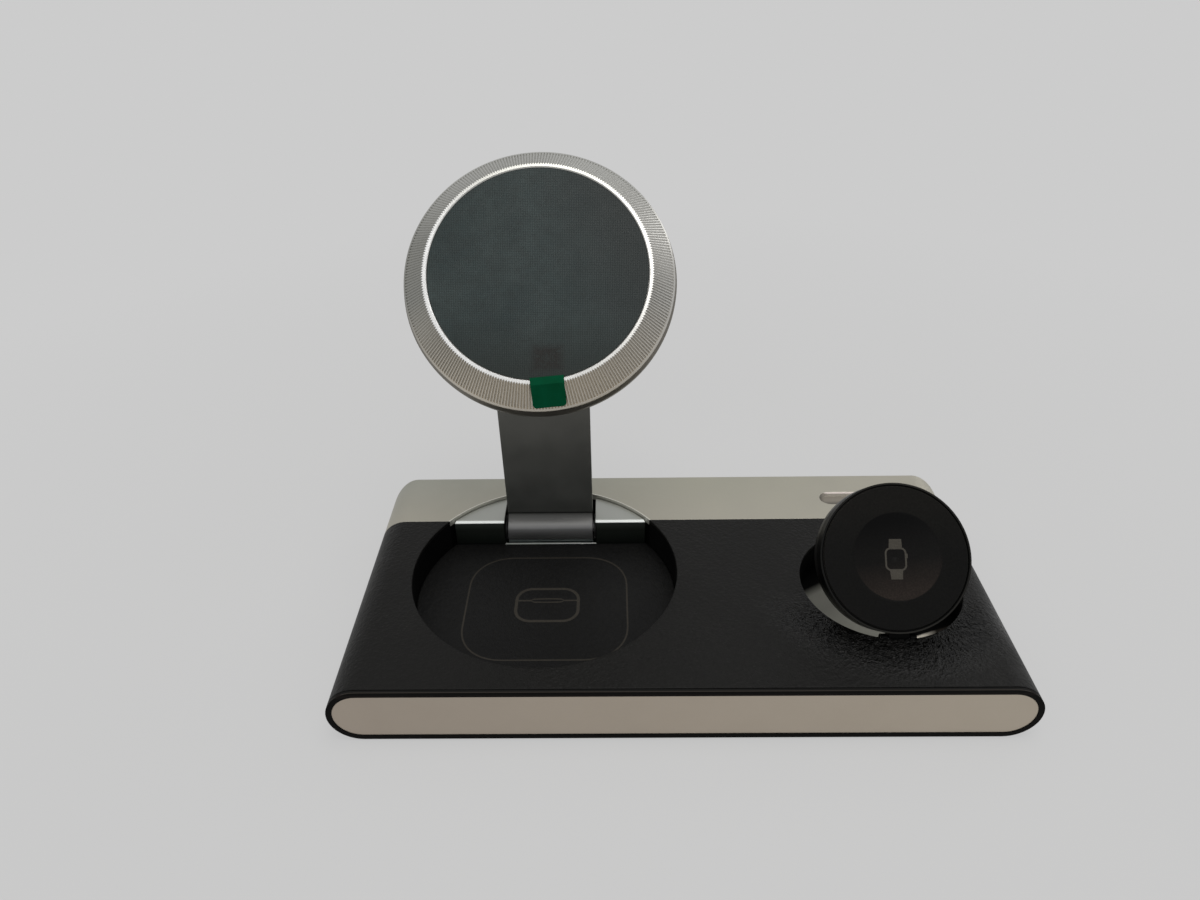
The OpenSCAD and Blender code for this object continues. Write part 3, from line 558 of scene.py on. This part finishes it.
def film_material():
    """Thin protective film over the dark pad: an even fine square mesh, with a faint smudge near the tab."""
    mesh_pitch = 0.43
    smudge_x, smudge_y, smudge_half_w, smudge_half_h = 2.35, -21.64, 4.0, 3.3
    m = Mat("pad_film", (0.038, 0.050, 0.050), 0.4, Specular_IOR_Level=0.2)
    x, y, _ = m.on_face(PUCK_AT, PUCK_TILT)
    waves = [m.absolute(m.math("SINE", m.mul(along, math.pi / mesh_pitch))) for along in (x, y)]
    line = m.ramp(m.math("MINIMUM", *waves), 0.55, 0.0)
    base = m.mix(m.ramp(m.noise(0.07, 4, 0.6), 0.35, 0.7), (0.032, 0.048, 0.048), (0.056, 0.076, 0.074))
    base = m.mix(m.mul(m.ramp(m.noise(0.45, 4, 0.7), 0.4, 0.66), 0.45), base, (0.029, 0.036, 0.034))
    base = m.mix(m.ramp(m.add(x, m.mul(y, 0.3)), 4, 24), base, (0.033, 0.040, 0.039))
    base = m.mix(m.ramp(y, -11, -24), base, (0.026, 0.034, 0.031))
    from_smudge = m.math(
        "MAXIMUM",
        m.math("DIVIDE", m.absolute(m.sub(x, smudge_x)), smudge_half_w),
        m.math("DIVIDE", m.absolute(m.sub(y, smudge_y)), smudge_half_h))
    smudge = m.mul(m.ramp(from_smudge, 1.15, 0.6), m.ramp(m.noise(0.8, 4, 0.7), 0.30, 0.50))
    base = m.mix(m.mul(smudge, 0.85), base, (0.018, 0.015, 0.013))
    m.color(m.mix(m.mul(line, 0.95), base, (0.006, 0.009, 0.009)))
    m.bump(line, 0.03, 0.5)
    m.rough(m.cloud(0.2, 4, a=0.36, b=0.46))
    return m.material


def tab_material():
    """Green film of the pull tab."""
    m = Mat("pull_tab_green", (0.0, 0.064, 0.026), 0.4, Specular_IOR_Level=0.04)
    m.bump(m.noise(0.5, 2), 0.05, 0.4)
    m.color(m.mix(m.cloud(0.35), (0.0, 0.058, 0.022), (0.0, 0.070, 0.029)))
    return m.material


def ink_material(name, colour):
    """Printed ink, a little uneven."""
    m = Mat(name, colour, 0.6, Specular_IOR_Level=0.1)
    m.color(m.mix(m.cloud(2.5, 4, 0.7), scaled(colour, 0.8), scaled(colour, 1.15)))
    m.bump(m.noise(2.4), 0.03, 0.5)
    return m.material


LEATHER = leather_material("leather_black", (0.0050, 0.0048, 0.0042), sheen=0.42, level=0.165, deep=0.4)
LINER = leather_material(
    "leather_floor", (0.0042, 0.0042, 0.0041), sheen=0.5, level=0.15, deep=0.4, rear=2.6)
SHELL_METAL = metal_material("gray_shell", (0.215, 0.200, 0.172), rough=0.5, grain=0.01, edge=0.2)
BACK_METAL = metal_material("dark_back", (0.014, 0.0135, 0.012), rough=0.4, grain=0.01, edge=0.2)
STEEL = metal_material("turned_steel", (0.45, 0.45, 0.46), rough=0.3, grain=0.008, edge=0.1)
MAGNET = metal_material("nickel", (0.5, 0.5, 0.52), rough=0.2, grain=0.004, edge=0.1)
BLACK = plastic_material("black_moulding", (0.0028, 0.0028, 0.0029), rough=0.5, level=0.05)
RUBBER = plastic_material("foot_rubber", grey(0.010), rough=0.72, grain=0.05, level=0.2)
BEARING = plastic_material("bearing_plastic", grey(0.009), rough=0.4)
BOARD = plastic_material("board_green", (0.01, 0.07, 0.03), rough=0.35)
FERRITE = plastic_material("ferrite", (0.03, 0.03, 0.034), rough=0.5)
COPPER = copper_material()
FLOOR_INK = ink_material("printed_gray", (0.040, 0.036, 0.030))
WATCH_INK = ink_material("printed_gray_watch", (0.066, 0.060, 0.050))

PAINT = {
    "base_core": core_material(), "leather_wrap": LEATHER, "front_plate": front_material(),
    "rear_housing": housing_material(), "bottom_cover": BLACK, "cover_screws": STEEL,
    "foot_pad": RUBBER, "nest_liner": LINER, "hinge_bracket": bracket_material(),
    "bracket_screws": STEEL, "arm_pin": STEEL, "friction_washers": BEARING,
    "housing_screws": STEEL, "earbud_coil": COPPER, "earbud_ferrite": FERRITE,
    "main_board": BOARD, "usb_inlet": STEEL, "pocket_plate": pocket_material(),
    "watch_hinge_block": BLACK, "watch_pin": STEEL, "arm": arm_material(), "puck_pin": STEEL,
    "puck_shell": SHELL_METAL, "puck_screws": STEEL, "ribbed_ring": ribbed_material(),
    "charge_pad": RUBBER, "pad_film": film_material(), "pull_tab": tab_material(),
    "magnet_ring": MAGNET, "phone_coil": COPPER, "phone_ferrite": FERRITE, "puck_board": BOARD,
    "watch_rim": watch_rim_material(), "watch_face": watch_face_material(),
    "watch_back": BACK_METAL, "watch_coil": COPPER, "watch_ferrite": FERRITE,
    "watch_magnet": MAGNET}
for name, obj in frame["nodes"].items():
    obj.data.materials.clear()
    obj.data.materials.append(PAINT[name])

# printed marks: thin flat strips that follow what they are printed on

INK_THICK = 0.03


def piece(name, bm, material, body):
    """Turn a bmesh into an object that rides on a body."""
    mesh = bpy.data.meshes.new(name)
    bm.normal_update()
    bm.to_mesh(mesh)
    bm.free()
    mesh.materials.append(material)
    ob = bpy.data.objects.new(name, mesh)
    scene.collection.objects.link(ob)
    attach(ob, body)
    return ob


def strip(bm, points, width, closed, place, thick=INK_THICK):
    """A flat line of the given width along 2D points; place(x, y, h) puts a point on the surface."""
    n = len(points)
    rows = []
    for i in range(n):
        before = points[i - 1 if closed or i else 0]
        after = points[(i + 1) % n if closed or i < n - 1 else i]
        d = Vector((after[0] - before[0], after[1] - before[1])).normalized()
        nx, ny = -d.y * width / 2, d.x * width / 2
        x, y = points[i]
        rows.append([bm.verts.new(place(x + side * nx, y + side * ny, h))
                     for side, h in ((1, 0), (1, thick), (-1, thick), (-1, 0))])
    for i in range(n if closed else n - 1):
        u, v = rows[i], rows[(i + 1) % n]
        for k in range(4):
            bm.faces.new((u[k], v[k], v[(k + 1) % 4], u[(k + 1) % 4]))
    if not closed:
        bm.faces.new(rows[0])
        bm.faces.new(rows[-1][::-1])


def patch(bm, points, place, thick):
    """A small flat filled shape."""
    top = [bm.verts.new(place(x, y, thick)) for x, y in points]
    low = [bm.verts.new(place(x, y, 0)) for x, y in points]
    bm.faces.new(top)
    bm.faces.new(low[::-1])
    for i in range(len(points)):
        j = (i + 1) % len(points)
        bm.faces.new((top[i], low[i], low[j], top[j]))


def rounded_rect(cx, cy, width, height, radius, n, power=2.0):
    """Outline with n steps in each corner; a power over 2 makes the corners squarer."""
    right, up = width / 2 - radius, height / 2 - radius
    points = []
    for corner, (sx, sy) in enumerate(((1, 1), (-1, 1), (-1, -1), (1, -1))):
        for i in range(n + 1):
            angle = math.radians(90 * corner + 90 * i / n)
            c, s = (math.copysign(abs(v) ** (2 / power), v) for v in (math.cos(angle), math.sin(angle)))
            points.append((cx + sx * right + radius * c, cy + sy * up + radius * s))
    return points


def moved(points, cx, cy):
    return [(cx + x, cy + y) for x, y in points]


def on_floor(x, y, h):
    """A point over the leather floor of the round place."""
    return Vector((x, y, NEST.z + h)) * MM


def on_dish(x, y, h):
    """A point over the spherical dish of the watch puck's face."""
    ball = (DISH_R ** 2 + DISH_DEPTH ** 2) / (2 * DISH_DEPTH)
    z = ball - DISH_DEPTH - math.sqrt(ball * ball - x * x - y * y)
    to_part = Matrix.Translation(WATCH_AT * MM) @ Matrix.Rotation(WATCH_TILT, 4, "X") @ Matrix.Scale(MM, 4)
    return to_part @ Vector((x, y, z + h))


def floor_print():
    """Rounded square and earbud case pictogram on the floor of the round place."""
    square_x, square_y, square_w, square_h, square_r = -32.6, -3.65, 41.8, 37.7, 11.5
    case_x, case_y, case_w, case_h, case_r = -32.45, -3.35, 16.1, 11.9, 4.0
    seam_y, seam_in, seam_out = -1.8, 4.15, case_w / 2 - 0.3
    thin, bold, seam_w, clasp_w = 0.42, 0.8, 0.5, 0.4
    bm = bmesh.new()
    square = rounded_rect(square_x, square_y, square_w, square_h, square_r, 20, power=2.2)
    strip(bm, square, thin, True, on_floor)
    strip(bm, rounded_rect(case_x, case_y, case_w, case_h, case_r, 12), bold, True, on_floor)
    # each part that crosses another lies a little higher, so that no faces coincide
    for start, end in ((-seam_out, -seam_in), (seam_in, seam_out)):
        seam = moved([(start, 0), (end, 0)], case_x, seam_y)
        strip(bm, seam, seam_w, False, on_floor, INK_THICK + 0.001)
    upper = [(-4.45, 0), (-3.55, 0.55), (0, 0.65), (3.55, 0.55)]
    clasp = upper + [(-x, -y) for x, y in upper]
    strip(bm, moved(clasp, case_x, seam_y), clasp_w, True, on_floor, INK_THICK + 0.002)
    ob = piece("floor_print", bm, FLOOR_INK, "base")


def watch_print():
    """Watch pictogram in the dish of the watch puck: a case, a crown and two strap ends."""
    x, y = 0.19, -0.4
    case_w, case_h, case_r, line = 4.7, 5.1, 1.15, 0.42
    thick = 0.02
    bm = bmesh.new()
    strip(bm, rounded_rect(x, y, case_w, case_h, case_r, 8), line, True, on_dish, thick)
    for side, mid_half, end_half in ((1, 1.55, 1.45), (-1, 1.5, 1.35)):
        half = [(-1.55, 2.6), (-mid_half, 3.2), (-end_half, 4.75)]
        strap = half + [(-px, py) for px, py in reversed(half)]
        patch(bm, moved([(side * px, side * py) for px, py in strap], x, y), on_dish, thick + 0.001)
    crown = [(2.55, 0.2), (2.8, 0.2), (2.8, 1.3), (2.55, 1.3)]
    patch(bm, moved(crown, x, y), on_dish, thick + 0.002)
    ob = piece("watch_print", bm, WATCH_INK, "watch_puck")


floor_print()
watch_print()

# floor, backdrop and light

PALE = 0.604


def direct_view(tree):
    """1 for rays that see the backdrop itself: camera, glossy and transmission rays."""
    rays = tree.nodes.new("ShaderNodeLightPath").outputs
    seen = rays["Is Camera Ray"]
    for kind in ("Is Glossy Ray", "Is Transmission Ray"):
        either = tree.nodes.new("ShaderNodeMath")
        either.operation = "MAXIMUM"
        tree.links.new(seen, either.inputs[0])
        tree.links.new(rays[kind], either.inputs[1])
        seen = either.outputs[0]
    return seen


def floor_material():
    """Pale floor that keeps a soft part of the shadow near the object and runs into the backdrop."""
    shadow_share, shadow_in, shadow_out = 0.22, 130, 330
    m = Mat("floor_pale", grey(0.6), 0.95, Specular_IOR_Level=0.0)
    x, y, _ = m.xyz()
    keep = m.ramp(m.far(x, y), shadow_in, shadow_out, shadow_share, 0.0)
    glow = m.node("ShaderNodeEmission")
    glow.inputs["Color"].default_value = (*grey(PALE), 1)
    blend = m.node("ShaderNodeMixShader")
    m.link(m.mul(direct_view(m.tree), m.sub(1.0, keep)), blend.inputs[0])
    m.link(m.shader.outputs[0], blend.inputs[1])
    m.link(glow.outputs[0], blend.inputs[2])
    m.link(blend.outputs[0], m.tree.nodes["Material Output"].inputs["Surface"])
    m.color(m.mix(m.cloud(0.02, 2), grey(0.598), grey(0.606)))
    return m.material


def make_floor():
    """Round floor of 8 m."""
    bm = bmesh.new()
    bmesh.ops.create_circle(bm, cap_ends=True, segments=96, radius=4.0)
    mesh = bpy.data.meshes.new("floor")
    bm.to_mesh(mesh)
    bm.free()
    mesh.materials.append(floor_material())
    floor = bpy.data.objects.new("floor", mesh)
    scene.collection.objects.link(floor)


def make_world():
    """Pale surround: as bright as the backdrop where it is seen, and softer as a light."""
    world = bpy.data.worlds.new("studio")
    world.use_nodes = True
    tree = world.node_tree
    soft = tree.nodes["Background"]
    soft.inputs["Strength"].default_value = 0.85
    seen = tree.nodes.new("ShaderNodeBackground")
    blend = tree.nodes.new("ShaderNodeMixShader")
    tree.links.new(direct_view(tree), blend.inputs[0])
    for socket, shader in ((1, soft), (2, seen)):
        shader.inputs["Color"].default_value = (*grey(PALE), 1)
        tree.links.new(shader.outputs[0], blend.inputs[socket])
    tree.links.new(blend.outputs[0], tree.nodes["World Output"].inputs[0])
    scene.world = world


def area_light(name, at, to, size, power, colour=(1, 1, 1)):
    """A round soft light at one point that shines to another, both in metres."""
    data = bpy.data.lights.new(name, "AREA")
    data.shape = "DISK"
    data.size = size
    data.energy = power
    data.color = colour
    light = bpy.data.objects.new(name, data)
    scene.collection.objects.link(light)
    light.location = at
    light.rotation_euler = (Vector(to) - Vector(at)).to_track_quat("-Z", "Y").to_euler()


make_floor()
make_world()
area_light("overhead", at=(0.1, -0.05, 1.0), to=(0, 0, 0.03), size=0.7, power=3.4, colour=(1.0, 0.985, 0.96))
area_light("right_sheen", at=(0.75, 0.55, 0.55), to=(0.03, 0, 0.02), size=0.35, power=0.6)
area_light("front_fill", at=(-0.3, -0.9, 0.5), to=(0, 0, 0.03), size=0.6, power=1.0)

scene.view_settings.view_transform = "Standard"
